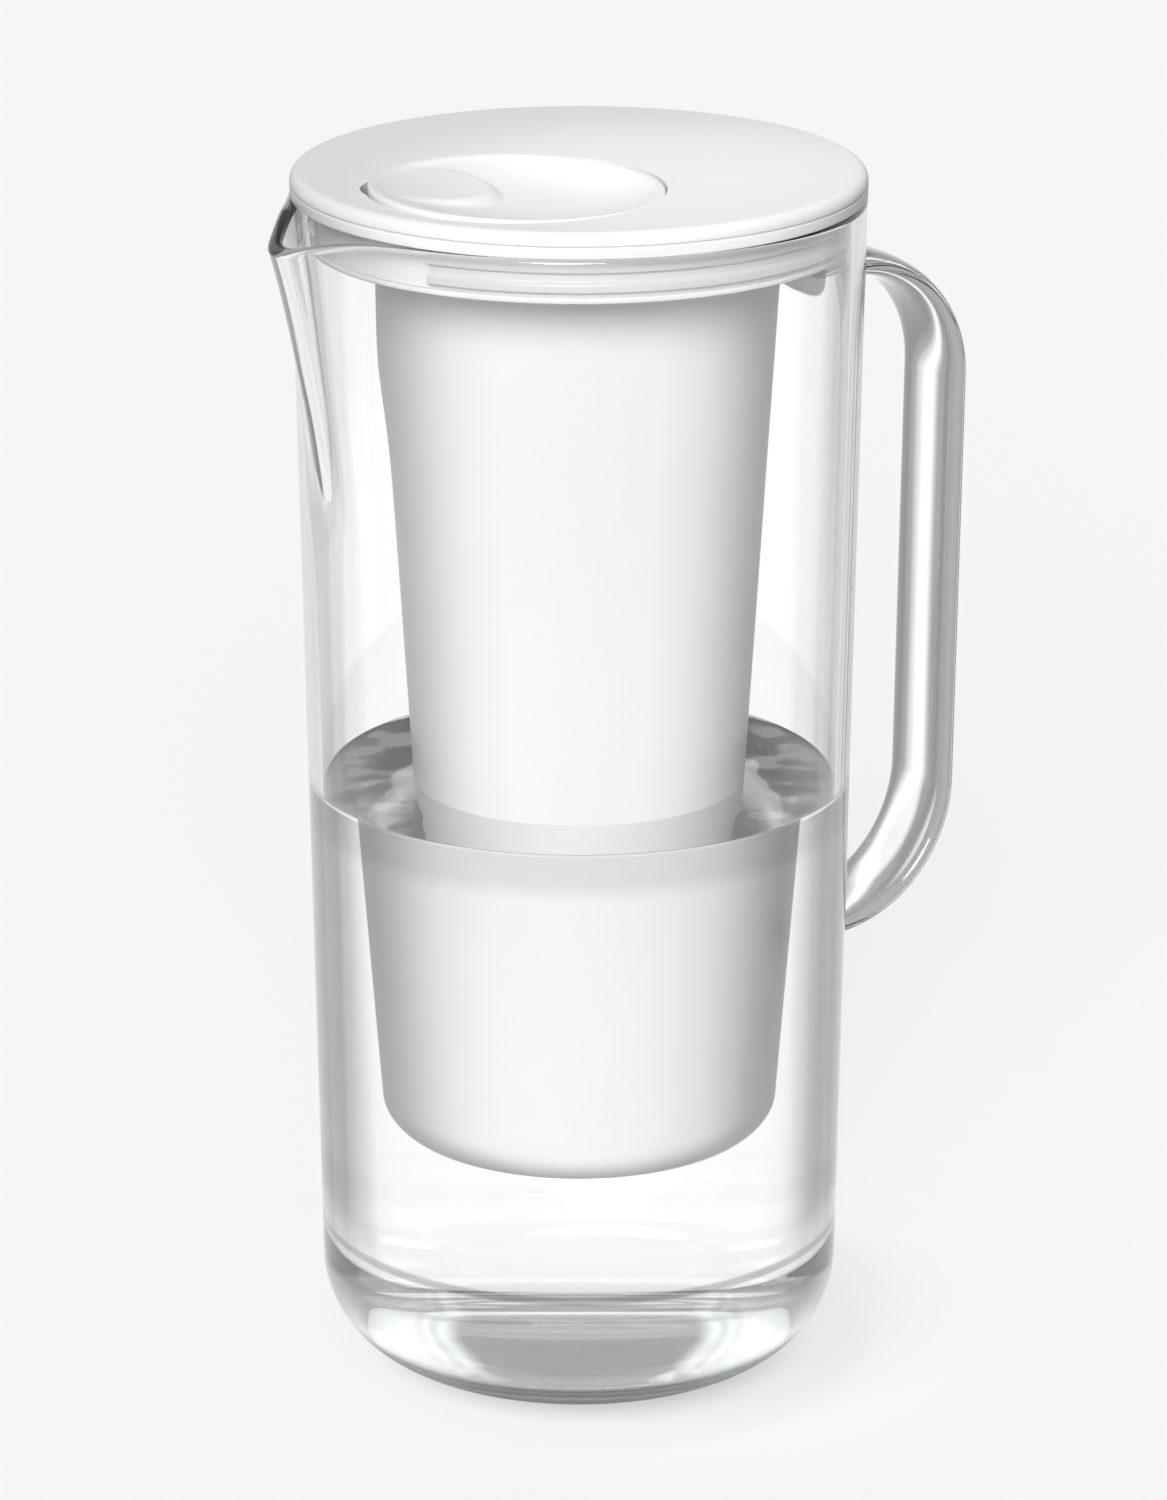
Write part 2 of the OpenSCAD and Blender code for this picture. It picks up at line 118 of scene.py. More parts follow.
# a profile of radius and height, drawn by extruding one vertex and spun about Z
def turned(name, points, steps, sweep=360):
    deselect()
    bpy.ops.mesh.primitive_plane_add(size=mm)
    piece = bpy.context.object
    piece.name = piece.data.name = name
    bpy.ops.object.mode_set(mode="EDIT")
    bpy.ops.mesh.select_all(action="SELECT")
    bpy.ops.mesh.merge(type="CENTER")
    bpy.ops.transform.translate(value=(points[0][0] * mm, 0, points[0][1] * mm))
    for (fromR, fromZ), (toR, toZ) in zip(points, points[1:]):
        step = ((toR - fromR) * mm, 0, (toZ - fromZ) * mm)
        if hypot(step[0], step[2]) > meshing["shortest"] * mm:
            bpy.ops.mesh.extrude_vertices_move(TRANSFORM_OT_translate={"value": step})
    bpy.ops.mesh.select_all(action="SELECT")
    bpy.ops.mesh.spin(steps=steps, angle=radians(sweep), center=(0, 0, 0), axis=(0, 0, 1))
    closeMesh(piece)
    return piece


# moves each vertex by a rule that works in millimetres
def moveVertices(piece, rule):
    for vertex in piece.data.vertices:
        vertex.co = Vector(rule(*(vertex.co / mm))) * mm
    piece.data.update()


# 0 to 1 with soft ends
def softStep(share):
    share = min(max(share, 0), 1)
    return share * share * (3 - 2 * share)


# camera at the photo's angle
shot = {"turn": -31.0, "dip": 18.1, "away": 1298.0, "height": 559.0, "side": 0.95, "sensor": 36.0,
        "lens": 153.6}


# level directions to the right of the camera's view and straight away from it
def viewAxes():
    turn = radians(shot["turn"])
    return Vector((cos(turn), sin(turn), 0)), Vector((-sin(turn), cos(turn), 0))


def makeCamera():
    right, away = viewAxes()
    bpy.ops.object.camera_add()
    camera = bpy.context.object
    camera.name = "photoCamera"
    camera.location = (right * shot["side"] - away * shot["away"] + Vector((0, 0, shot["height"]))) * mm
    camera.rotation_euler = (radians(90 - shot["dip"]), 0, radians(shot["turn"]))
    camera.data.sensor_width = shot["sensor"]
    camera.data.lens = shot["lens"]
    bpy.context.scene.camera = camera


# clear jug with its spout; the vertices are crowded towards the spout
jug = {"wall": 3.0, "draft": 1.0, "baseRound": 21.5, "insideRound": 17.0, "floor": 7.0, "rimEdge": 1.1,
       "steps": 256, "crowd": 0.7, "outSteps": 20, "inSteps": 18, "lowSteps": 14, "highSteps": 46,
       "edgeSteps": 5, "flatSteps": 4, "smoothAngle": 40}
spout = {"footZ": rimZ - 66.0, "reach": 12.1, "noseR": 10.5, "halfAngle": 52.8, "spread": 1.4,
         "easeOut": 60.0, "crease": 1.2, "creaseCut": 0.03, "lipDrop": 4.0, "lipFade": 24.0, "dipFrom": 59.0,
         "dipPower": 1.5, "softAngle": 8.0, "softRise": 8.0, "softBelow": 14.0, "fineBelow": 6.0,
         "markDepth": 2.5}


def jugR(z):
    return mouthR - (rimZ - z) * tan(radians(jug["draft"]))


# centre of the rounding between the wall and a floor, for a skin this far inside the outer one
def baseCentre(radius, floorZ, inset):
    lean = radians(jug["draft"])
    return jugR(0) - inset + (floorZ + radius) * tan(lean) - radius / cos(lean), floorZ + radius


def jugProfile():
    wall, edge, draft = jug["wall"], jug["rimEdge"], jug["draft"]
    edgeZ, midZ = rimZ - edge, spout["footZ"] - spout["fineBelow"]
    outC = baseCentre(jug["baseRound"], 0, 0)
    inC = baseCentre(jug["insideRound"], jug["floor"], wall)
    mid, inMid = (jugR(midZ), midZ), (jugR(midZ) - wall, midZ)
    outside = line((0, 0), (outC[0], 0), jug["flatSteps"])
    outside += arc(outC, jug["baseRound"], -90, -draft, jug["outSteps"])
    outside += line(outside[-1], mid, jug["lowSteps"])
    outside += line(mid, (jugR(edgeZ), edgeZ), jug["highSteps"])
    rim = arc((jugR(rimZ) - edge, edgeZ), edge, 0, 90, jug["edgeSteps"])
    rim += arc((jugR(rimZ) - wall + edge, edgeZ), edge, 90, 180, jug["edgeSteps"])
    inArc = arc(inC, jug["insideRound"], -draft, -90, jug["inSteps"])
    inside = line((jugR(edgeZ) - wall, edgeZ), inMid, jug["highSteps"])
    inside += line(inMid, inArc[0], jug["lowSteps"]) + inArc
    inside += line((inC[0], jug["floor"]), (0, jug["floor"]), jug["flatSteps"])
    return outside + rim + inside


# how far the spout stands out at an angle from its middle, for a skin this far inside the outer one
def spoutLift(angle, z, inset):
    footR, tipR = jugR(spout["footZ"]), mouthR + spout["reach"]
    ridgeR = footR + (tipR - footR) * (z - spout["footZ"]) / (rimZ - spout["footZ"])
    centre, nose = ridgeR - spout["noseR"], spout["noseR"] - inset
    lean = radians(90 - spout["halfAngle"])
    if angle < atan2(nose * sin(lean), centre + nose * cos(lean)):
        reach = centre * cos(angle) + sqrt(max(nose * nose - (centre * sin(angle)) ** 2, 0))
    elif angle < lean:
        reach = (centre * cos(lean) + nose) / cos(angle - lean)
    else:
        reach = centre * cos(lean) + nose - spout["easeOut"] * (angle - lean) ** 2
    out = reach - jugR(z) + inset
    return max((out + hypot(out, spout["crease"])) / 2 - spout["creaseCut"], 0)


# the same as a mean over its neighbourhood, which grows from the lip down to the foot
def softLift(angle, z, inset):
    climb = (z - spout["footZ"]) / (rimZ - spout["footZ"])
    soft = sqrt(min(max(1 - climb, 0), 1))
    weights = ((-1, 1), (-0.5, 2), (0, 3), (0.5, 2), (1, 1))
    total = 0
    for turn, turnShare in weights:
        for rise, riseShare in weights:
            there = abs(angle + turn * soft * radians(spout["softAngle"]))
            total += turnShare * riseShare * spoutLift(there, z + rise * soft * spout["softRise"], inset)
    return total / sum(share for place, share in weights) ** 2


def shapeSpout(x, y, z):
    radius, angle = hypot(x, y), atan2(y, -x)
    angle -= jug["crowd"] * sin(angle)
    x, y = -radius * cos(angle), radius * sin(angle)
    aside = abs(angle) > spout["spread"] or radius < jugR(z) - jug["wall"] - meshing["slack"]
    if aside or z < spout["footZ"] - spout["softBelow"]:
        return x, y, z
    radius += softLift(angle, z, jugR(z) - radius)
    x, y = -radius * cos(angle), radius * sin(angle)
    dipShare = max(-x - spout["dipFrom"], 0) / (mouthR + spout["reach"] - spout["dipFrom"])
    dip = spout["lipDrop"] * dipShare ** spout["dipPower"]
    share = max(0, (z - rimZ + spout["lipFade"]) / spout["lipFade"])
    return x, y, z - dip * share


# how much of the spout each vertex belongs to, kept for the spout's painted shade
def markSpout(glass):
    mark = glass.data.attributes.new("spoutShare", "FLOAT", "POINT")
    for vertex in glass.data.vertices:
        x, y, z = vertex.co / mm
        inner = vertex.normal.x * x + vertex.normal.y * y < 0
        skin = jugR(z) - (jug["wall"] if inner else 0)
        if x < 0 and z > spout["footZ"] - spout["softBelow"]:
            mark.data[vertex.index].value = min(max((hypot(x, y) - skin) / spout["markDepth"], 0), 1)


# flattened bar bent into a D
handle = {"width": 21.0, "thick": 5.8, "gap": 27.95, "topZ": rimZ - 22.4, "footZ": 86.0, "topBend": 27.0,
          "footBend": 30.0, "roundness": 2.5, "points": 64, "rootIn": 5.0, "rootSteps": 2, "bendSteps": 28,
          "runSteps": 16, "corePast": 20.0, "coreSteps": 128}


def makeHandle():
    middleX = jugR((handle["topZ"] + handle["footZ"]) / 2) + handle["gap"] + handle["thick"] / 2
    runTop, runFoot = handle["topZ"] - handle["topBend"], handle["footZ"] + handle["footBend"]
    startX = jugR(handle["topZ"]) - handle["rootIn"]
    power = 2 / handle["roundness"]
    deselect()
    bpy.ops.mesh.primitive_circle_add(vertices=handle["points"], radius=mm, rotation=(0, radians(90), 0))
    bar = bpy.context.object
    bar.name = bar.data.name = "handleBar"
    bpy.ops.object.transform_apply(location=False, rotation=True, scale=False)

    def oval(x, y, z):
        across = handle["width"] / 2 * copysign(abs(y) ** power, y)
        return startX, across, handle["topZ"] + handle["thick"] / 2 * copysign(abs(z) ** power, z)

    def extrude(x, z, steps):
        step = (x / steps * mm, 0, z / steps * mm)
        for i in range(steps):
            bpy.ops.mesh.extrude_region_move(TRANSFORM_OT_translate={"value": step})

    def bend(centreX, centreZ):
        bpy.ops.mesh.spin(steps=handle["bendSteps"], angle=radians(-90), axis=(0, 1, 0),
                          center=(centreX * mm, 0, centreZ * mm))

    moveVertices(bar, oval)
    editAll(bar)
    extrude(middleX - handle["topBend"] - startX, 0, handle["rootSteps"])
    bend(middleX - handle["topBend"], runTop)
    extrude(0, runFoot - runTop, handle["runSteps"])
    bend(middleX - handle["footBend"], runFoot)
    bpy.ops.mesh.select_all(action="SELECT")
    bpy.ops.mesh.fill_holes(sides=0)
    closeMesh(bar)
    # the run leans with the wall
    pivot = Matrix.Translation(Vector((middleX, 0, (handle["topZ"] + handle["footZ"]) / 2)) * mm)
    bar.data.transform(pivot @ Matrix.Rotation(radians(jug["draft"]), 4, "Y") @ pivot.inverted())
    # both roots end half way through the wall
    low, high = handle["footZ"] - handle["corePast"], handle["topZ"] + handle["corePast"]
    lowR, highR = (jugR(z) - jug["wall"] / 2 for z in (low, high))
    core = turned("handleCore", [(0, low), (lowR, low), (highR, high), (0, high)], handle["coreSteps"])
    joinBy(bar, core, "DIFFERENCE")
    return bar


def makeJug():
    glass = turned("jug_glass", jugProfile(), jug["steps"])
    moveVertices(glass, shapeSpout)
    joinBy(glass, makeHandle(), "UNION")
    closeMesh(glass)
    smooth(glass, jug["smoothAngle"])
    markSpout(glass)
    return glass


# water standing in the jug, drawn up a little at the wall
water = {"level": 130.0, "bite": 0.15, "rise": 0.35, "riseWidth": 1.4, "risePower": 2.4, "riseSteps": 8,
         "wallSteps": 10, "topSteps": 8, "steps": 192, "smoothAngle": 50}


def makeWater():
    bite, wall = water["bite"], jug["wall"]
    inC = baseCentre(jug["insideRound"], jug["floor"], wall)
    floorZ, top = jug["floor"] - bite, water["level"] + water["rise"]
    topR = jugR(top) - wall + bite
    points = line((0, floorZ), (inC[0], floorZ), jug["flatSteps"])
    points += arc(inC, jug["insideRound"] + bite, -90, -jug["draft"], jug["inSteps"])
    points += line(points[-1], (topR, top), water["wallSteps"])
    for i in range(1, water["riseSteps"] + 1):
        share = i / water["riseSteps"]
        rise = water["rise"] * (1 - share) ** water["risePower"]
        points.append((topR - water["riseWidth"] * share, water["level"] + rise))
    points += line(points[-1], (0, water["level"]), water["topSteps"])
    piece = turned("jug_water", points, water["steps"])
    smooth(piece, water["smoothAngle"])
    return piece


# drop-in reservoir with its flange, skirt and tapered cup
tub = {"flange": 2.4, "skirtGap": 2.1, "skirtWall": 2.0, "skirtH": 9.8, "shelf": 2.0, "shelfRound": 2.5,
       "cupTopR": 42.4, "cupFootR": 30.4, "cupWall": 2.0, "cupZ": nodeBox("reservoir")[0][2], "floor": 5.0,
       "footRound": 9.5, "insideRound": 3.0, "outletR": 16.0, "beadH": 1.2, "sleeve": 0.7, "lipGap": 0.35,
       "edge": 0.4, "stepRound": 1.0, "brimRound": 1.4, "footSteps": 14, "shelfSteps": 8, "wallSteps": 24,
       "steps": 192, "smoothAngle": 35}
shelfZ = rimZ - tub["skirtH"]
flangeZ = rimZ + tub["flange"]
skirtR = mouthR - jug["wall"] - tub["skirtGap"]
skirtInR = skirtR - tub["skirtWall"]
cupLean = atan((tub["cupTopR"] - tub["cupFootR"]) / (shelfZ - tub["cupZ"]))


def cupR(z):
    return tub["cupFootR"] + (z - tub["cupZ"]) * tan(cupLean)


# a closed outline with each listed corner rounded, within a share of its sides: (radius, height, rounding)
def rounded(corners, steps=4, share=0.49):
    points = []
    count = len(corners)
    for i, (x, z, r) in enumerate(corners):
        here = Vector((x, z))
        if r <= 0:
            points.append((x, z))
            continue
        before, after = Vector(corners[i - 1][:2]) - here, Vector(corners[(i + 1) % count][:2]) - here
        toBefore, toAfter = before.normalized(), after.normalized()
        half = toBefore.angle(toAfter) / 2
        reach = min(r / tan(half), before.length * share, after.length * share)
        radius = reach * tan(half)
        centre = here + (toBefore + toAfter).normalized() * (radius / sin(half))
        start, end = here + toBefore * reach - centre, here + toAfter * reach - centre
        for k in range(steps + 1):
            points.append(tuple(centre + start.lerp(end, k / steps).normalized() * radius))
    return points


def makeReservoir():
    slant, lean = cos(cupLean), degrees(cupLean)
    footRound, shelfRound, edge = tub["footRound"], tub["shelfRound"], tub["edge"]
    footR = tub["cupFootR"] + footRound * tan(cupLean) - footRound / slant
    footC = (footR, tub["cupZ"] + footRound)
    shelfC = (cupR(shelfZ - shelfRound) + shelfRound / slant, shelfZ - shelfRound)
    outside = [(tub["outletR"], tub["cupZ"])] + arc(footC, footRound, -90, -lean, tub["footSteps"])
    upper = arc(shelfC, shelfRound, 180 - lean, 90, tub["shelfSteps"])
    outside += line(outside[-1], upper[0], tub["wallSteps"]) + upper
    beadR, beadTop = skirtR + tub["sleeve"] + tub["lipGap"], shelfZ + tub["beadH"]
    floorZ, ledgeZ = tub["cupZ"] + tub["floor"], shelfZ + tub["shelf"]
    brimR, inFootR = cupR(ledgeZ) - tub["cupWall"], cupR(floorZ) - tub["cupWall"]
    collar = rounded([(shelfC[0], shelfZ, 0), (beadR, shelfZ, edge), (beadR, beadTop, edge),
                      (skirtR, beadTop, 0), (skirtR, rimZ, 0), (mouthR, rimZ, edge), (mouthR, flangeZ, edge),
                      (skirtInR, flangeZ, edge), (skirtInR, ledgeZ, tub["stepRound"]),
                      (brimR, ledgeZ, tub["brimRound"]), (inFootR, floorZ, tub["insideRound"]),
                      (tub["outletR"], floorZ, 0)])
    piece = turned("reservoir_white", outside + collar[1:] + [outside[0]], tub["steps"])
    smooth(piece, tub["smoothAngle"])
    return piece


# seal bands on the skirt, open at the spout
seal = {"lipH": 2.6, "bevel": 0.5, "count": 2, "open": 27.0, "rootRound": 0.2, "lipRound": 0.35,
        "steps": 160, "smoothAngle": 35}


def makeSeal():
    sleeveR = skirtR + tub["sleeve"]
    low, high = shelfZ + tub["beadH"], rimZ - tub["lipGap"]
    pitch = (high - low) / seal["count"]
    corners = [(skirtR, low, 0), (sleeveR, low, 0)]
    for i in range(seal["count"]):
        lipLow = low + i * pitch + (pitch - seal["lipH"]) / 2
        lipHigh = lipLow + seal["lipH"]
        lipR = jugR(lipLow) - jug["wall"] - tub["lipGap"]
        corners += [(sleeveR, lipLow, seal["rootRound"]), (lipR, lipLow + seal["bevel"], seal["lipRound"]),
                    (lipR, lipHigh - seal["bevel"], seal["lipRound"]), (sleeveR, lipHigh, seal["rootRound"])]
    corners += [(sleeveR, high, 0), (skirtR, high, 0)]
    points = rounded(corners)
    piece = turned("mouth_seal_bands", points + [points[0]], seal["steps"], 360 - 2 * seal["open"])
    editAll(piece)
    bpy.ops.mesh.fill_holes(sides=0)
    closeMesh(piece)
    # the opening is turned to the spout, whichever way the spin went
    ends = sorted(vertex.co.y for vertex in piece.data.vertices if vertex.co.x > 0)
    turn = 180 + seal["open"] if abs(ends[-1]) > abs(ends[0]) else 180 - seal["open"]
    piece.data.transform(Matrix.Rotation(radians(turn), 4, "Z"))
    smooth(piece, seal["smoothAngle"])
    return piece


# lid cover with the fill opening, and a thumb notch in its edge
lid = {"edge": 2.2, "edgeSteps": 10, "under": 0.44, "ribGap": 0.5, "ribT": 1.8, "ribH": 3.0,
       "gasketR": mouthR - 1.6, "gasketW": 2.4, "gasketT": 1.1, "bevel": 0.45, "bevelAngle": 55,
       "bevelSteps": 3, "topRings": (0.4, 2.0), "cutPast": 2.0, "steps": 240, "holeSteps": 200,
       "notchSteps": 120, "smoothAngle": 40}
flap = {"r": 30.5, "gap": 0.5, "inset": 5.2, "turn": 149.0, "side": 57.4, "rim": 2.4, "edge": 0.6,
        "edgeSteps": 6, "rimW": 4.7, "bowl": 3.2, "underEdge": 0.3, "tilt": 1.6, "shift": -0.12,
        "notch": 0.9, "notchR": 12.0, "hingeIn": 13.0, "hingeDepth": 1.3, "relief": 0.85, "reliefHalf": 5.0,
        "reliefAt": 0.5, "rings": 60, "steps": 200, "smoothAngle": 40}
holeR = flap["r"] + flap["gap"]
hingeU = flap["hingeIn"] - flap["r"]
hingeZ = lidTop - flap["hingeDepth"]


# frame of the flap on the lid: X towards the pad end
def flapPlace():
    reach = mouthR - flap["inset"] - holeR
    side = radians(flap["side"])
    centre = Vector((reach * cos(side), reach * sin(side), 0))
    return Matrix.Rotation(radians(flap["turn"]), 4, "Z") @ Matrix.Translation(centre * mm)


def cutter(radius, u, low, high, vertices):
    deselect()
    bpy.ops.mesh.primitive_cylinder_add(vertices=vertices, radius=radius * mm, depth=(high - low) * mm)
    tool = bpy.context.object
    tool.data.transform(flapPlace() @ Matrix.Translation(Vector((u, 0, (low + high) / 2)) * mm))
    return tool


def makeLid():
    low, edge, gasketR = flangeZ, lid["edge"], lid["gasketR"]
    ribR = skirtInR - lid["ribGap"]
    ribIn, ribLow = ribR - lid["ribT"], low - lid["ribH"]
    grooveZ, grooveIn = low + lid["gasketT"], gasketR - lid["gasketW"]
    points = [(0, low), (ribIn, low), (ribIn, ribLow), (ribR, ribLow), (ribR, low), (grooveIn, low),
              (grooveIn, grooveZ), (gasketR, grooveZ), (gasketR, low), (mouthR - lid["under"], low),
              (mouthR, low + lid["under"])]
    points += arc((mouthR - edge, lidTop - edge), edge, 0, 90, lid["edgeSteps"])
    points += [(mouthR - edge - ring, lidTop) for ring in lid["topRings"]] + [(0, lidTop)]
    cover = turned("lid_cover_white", points, lid["steps"])
    deep, high = ribLow - lid["cutPast"], lidTop + lid["cutPast"]
    notchU = holeR + flap["notch"] - flap["notchR"]
    joinBy(cover, cutter(holeR, 0, deep, high, lid["holeSteps"]), "DIFFERENCE")
    joinBy(cover, cutter(flap["notchR"], notchU, deep, high, lid["notchSteps"]), "DIFFERENCE")
    applyModifier(cover, "BEVEL", width=lid["bevel"] * mm, segments=lid["bevelSteps"], limit_method="ANGLE",
                  angle_limit=radians(lid["bevelAngle"]))
    closeMesh(cover)
    smooth(cover, lid["smoothAngle"])
    applyModifier(cover, "WEIGHTED_NORMAL", keep_sharp=True, weight=100)
    return cover


# fill flap with its finger pad and scoop
pad = {"u": 19.0, "v": -5.0, "r": 15.0, "depth": 0.9, "slope": 0.06, "dish": 0.45, "step": 3.6, "rim": 0.9,
       "ease": 2.6}
scoop = {"u": -11.0, "v": -6.0, "depth": 4.2, "power": 2.2}


# depth under the rim: a scoop that is steep on its far side, and a nearly level round pad
def dishDepth(u, v):
    rimR = flap["r"] - pad["rim"]
    outU, outV = u - scoop["u"], v - scoop["v"]
    out = hypot(outU, outV)
    hollow = scoop["depth"]
    if out > meshing["slack"]:
        outward = (scoop["u"] * outU + scoop["v"] * outV) / out
        toRim = sqrt(outward * outward + rimR * rimR - scoop["u"] ** 2 - scoop["v"] ** 2) - outward
        hollow *= 1 - min(out / toRim, 1) ** scoop["power"]
    fromPad = hypot(u - pad["u"], v - pad["v"])
    level = pad["depth"] + pad["slope"] * (pad["u"] - u) + pad["dish"] * max(1 - (fromPad / pad["r"]) ** 2, 0)
    onPad = softStep((pad["r"] - fromPad) / pad["step"] + 0.5)
    return softStep((rimR - hypot(u, v)) / pad["ease"]) * (hollow * (1 - onPad) + level * onPad)


def makeFlap():
    flapR, edge, bowl, soft = flap["r"], flap["edge"], flap["bowl"], flap["underEdge"]
    rimLow, bowlR = lidTop - flap["rim"], flapR - flap["rimW"]
    points = [(0, rimLow - bowl), (bowlR - bowl, rimLow - bowl), (bowlR, rimLow), (flapR - soft, rimLow),
              (flapR, rimLow + soft)]
    points += arc((flapR - edge, lidTop - edge), edge, 0, 90, flap["edgeSteps"])
    points += line((flapR - edge, lidTop), (0, lidTop), flap["rings"])
    piece = turned("fill_flap_white", points, flap["steps"])

    def dish(x, y, z):
        lower = dishDepth(x, y) if z > lidTop - edge - meshing["slack"] else 0
        # the top of the rim is eased beside the hinge, where it swings past the edge of the opening
        ease = max(1 - ((x - hingeU - flap["reliefAt"]) / flap["reliefHalf"]) ** 2, 0) ** 2
        ease *= min(max(1 - (lidTop - z) / flap["rim"], 0), 1)
        radius = hypot(x, y)
        trim = 1 - flap["relief"] * ease / radius if radius > flapR - edge - meshing["slack"] else 1
        return x * trim, y * trim, z - lower

    moveVertices(piece, dish)
    pivot = Matrix.Translation(Vector((hingeU, 0, hingeZ)) * mm)
    tilt = pivot @ Matrix.Rotation(-radians(flap["tilt"]), 4, "Y") @ pivot.inverted()
    piece.data.transform(flapPlace() @ tilt @ Matrix.Translation((flap["shift"] * mm, 0, 0)))
    smooth(piece, flap["smoothAngle"])
    return piece


# node tools: a number or colour is set on the socket, an output is linked to it
def feed(tree, value, socket):
    if isinstance(value, (int, float, tuple)):
        socket.default_value = value
    else:
        tree.links.new(value, socket)


def newNodes(tree, *kinds):
    return [tree.nodes.new("ShaderNode" + kind) for kind in kinds]


def link(tree, *pairs):
    for output, socket in pairs:
        tree.links.new(output, socket)


def mathNode(tree, operation, *values):
    node = tree.nodes.new("ShaderNodeMath")
    node.operation = operation
    for socket, value in zip(node.inputs, values):
        feed(tree, value, socket)
    return node.outputs["Value"]


# a value that goes softly from one number to another, over a span of another value
def rangeNode(tree, value, fromLow, fromHigh, toLow, toHigh):
    node = tree.nodes.new("ShaderNodeMapRange")
    node.interpolation_type = "SMOOTHSTEP"
    spans = {"From Min": fromLow, "From Max": fromHigh, "To Min": toLow, "To Max": toHigh}
    for name, number in spans.items():
        node.inputs[name].default_value = number
    tree.links.new(value, node.inputs["Value"])
    return node.outputs["Result"]


def vectorNode(tree, operation, vector, other=(0, 0, 0)):
    node = tree.nodes.new("ShaderNodeVectorMath")
    node.operation = operation
    node.inputs[1].default_value = other
    tree.links.new(vector, node.inputs[0])
    return node.outputs["Value"]


# sockets of a mix node: first, second and result
mixSockets = {"FLOAT": (2, 3, 0), "RGBA": (6, 7, 2)}


def mixNode(tree, kind, mask, first, second, blend="MIX"):
    node = tree.nodes.new("ShaderNodeMix")
    node.data_type = kind
    node.blend_type = blend
    firstSocket, secondSocket, result = mixSockets[kind]
    for value, socket in ((mask, 0), (first, firstSocket), (second, secondSocket)):
        feed(tree, value, node.inputs[socket])
    return node.outputs[result]


# one part of a place on the piece, or of its outward direction
def objectAxis(tree, axis, output="Object"):
    place, split = newNodes(tree, "TexCoord", "SeparateXYZ")
    tree.links.new(place.outputs[output], split.inputs[0])
    return split.outputs[axis]


def normalAxis(tree, axis):
    return objectAxis(tree, axis, "Normal")


# 1 up to one height and 0 from another, in millimetres
def below(tree, low, high):
    return rangeNode(tree, objectAxis(tree, "Z"), low * mm, high * mm, 1, 0)


def facing(tree):
    return tree.nodes.new("ShaderNodeLayerWeight").outputs["Facing"]


# greys of a colour ramp from pairs of position and tone
def setStops(ramp, tones, power=1, cool=1.0):
    stops = ramp.color_ramp.elements
    while len(stops) < len(tones):
        stops.new(1)
    for stop, (position, tone) in zip(stops, tones):
        stop.position = position
        stop.color = (tone ** power * cool, tone ** power, tone ** power, 1)


def rampNode(tree, factor, tones, power=1, cool=1.0):
    ramp = tree.nodes.new("ShaderNodeValToRGB")
    setStops(ramp, tones, power, cool)
    tree.links.new(factor, ramp.inputs["Fac"])
    return ramp.outputs["Color"]


def newMaterial(name):
    material = bpy.data.materials.new(name)
    material.use_nodes = True
    return material, material.node_tree, material.node_tree.nodes["Principled BSDF"]


# multiplies what already colours a shader
def shadeBase(tree, shader, tone):
    tinted = shader.inputs["Base Color"].links[0].from_socket
    tree.links.new(mixNode(tree, "RGBA", 1, tinted, tone, "MULTIPLY"), shader.inputs["Base Color"])


# fine grain over a moulded surface: a height, and a roughness that drifts with a broad cloud
grain = {"cloudScale": 22, "detail": 3, "cloudFrom": 0.3, "cloudTo": 0.7, "depth": 0.05}


def makeGrainGroup():
    group = bpy.data.node_groups.new("mouldedGrain", "ShaderNodeTree")
    for name in ("Scale", "Smooth", "Rough"):
        group.interface.new_socket(name, in_out="INPUT", socket_type="NodeSocketFloat")
    for name in ("Roughness", "Height", "Cloud"):
        group.interface.new_socket(name, in_out="OUTPUT", socket_type="NodeSocketFloat")
    inside, outside = group.nodes.new("NodeGroupInput"), group.nodes.new("NodeGroupOutput")
    place, span, fine, broad = newNodes(group, "TexCoord", "MapRange", "TexNoise", "TexNoise")
    for noise in (fine, broad):
        noise.inputs["Detail"].default_value = grain["detail"]
        link(group, (place.outputs["Object"], noise.inputs["Vector"]))
    broad.inputs["Scale"].default_value = grain["cloudScale"]
    span.inputs["From Min"].default_value = grain["cloudFrom"]
    span.inputs["From Max"].default_value = grain["cloudTo"]
    link(group, (inside.outputs["Scale"], fine.inputs["Scale"]), (broad.outputs["Fac"], span.inputs["Value"]),
         (inside.outputs["Smooth"], span.inputs["To Min"]), (inside.outputs["Rough"], span.inputs["To Max"]),
         (span.outputs["Result"], outside.inputs["Roughness"]),
         (fine.outputs["Fac"], outside.inputs["Height"]), (broad.outputs["Fac"], outside.inputs["Cloud"]))
    return group


grainGroup = makeGrainGroup()

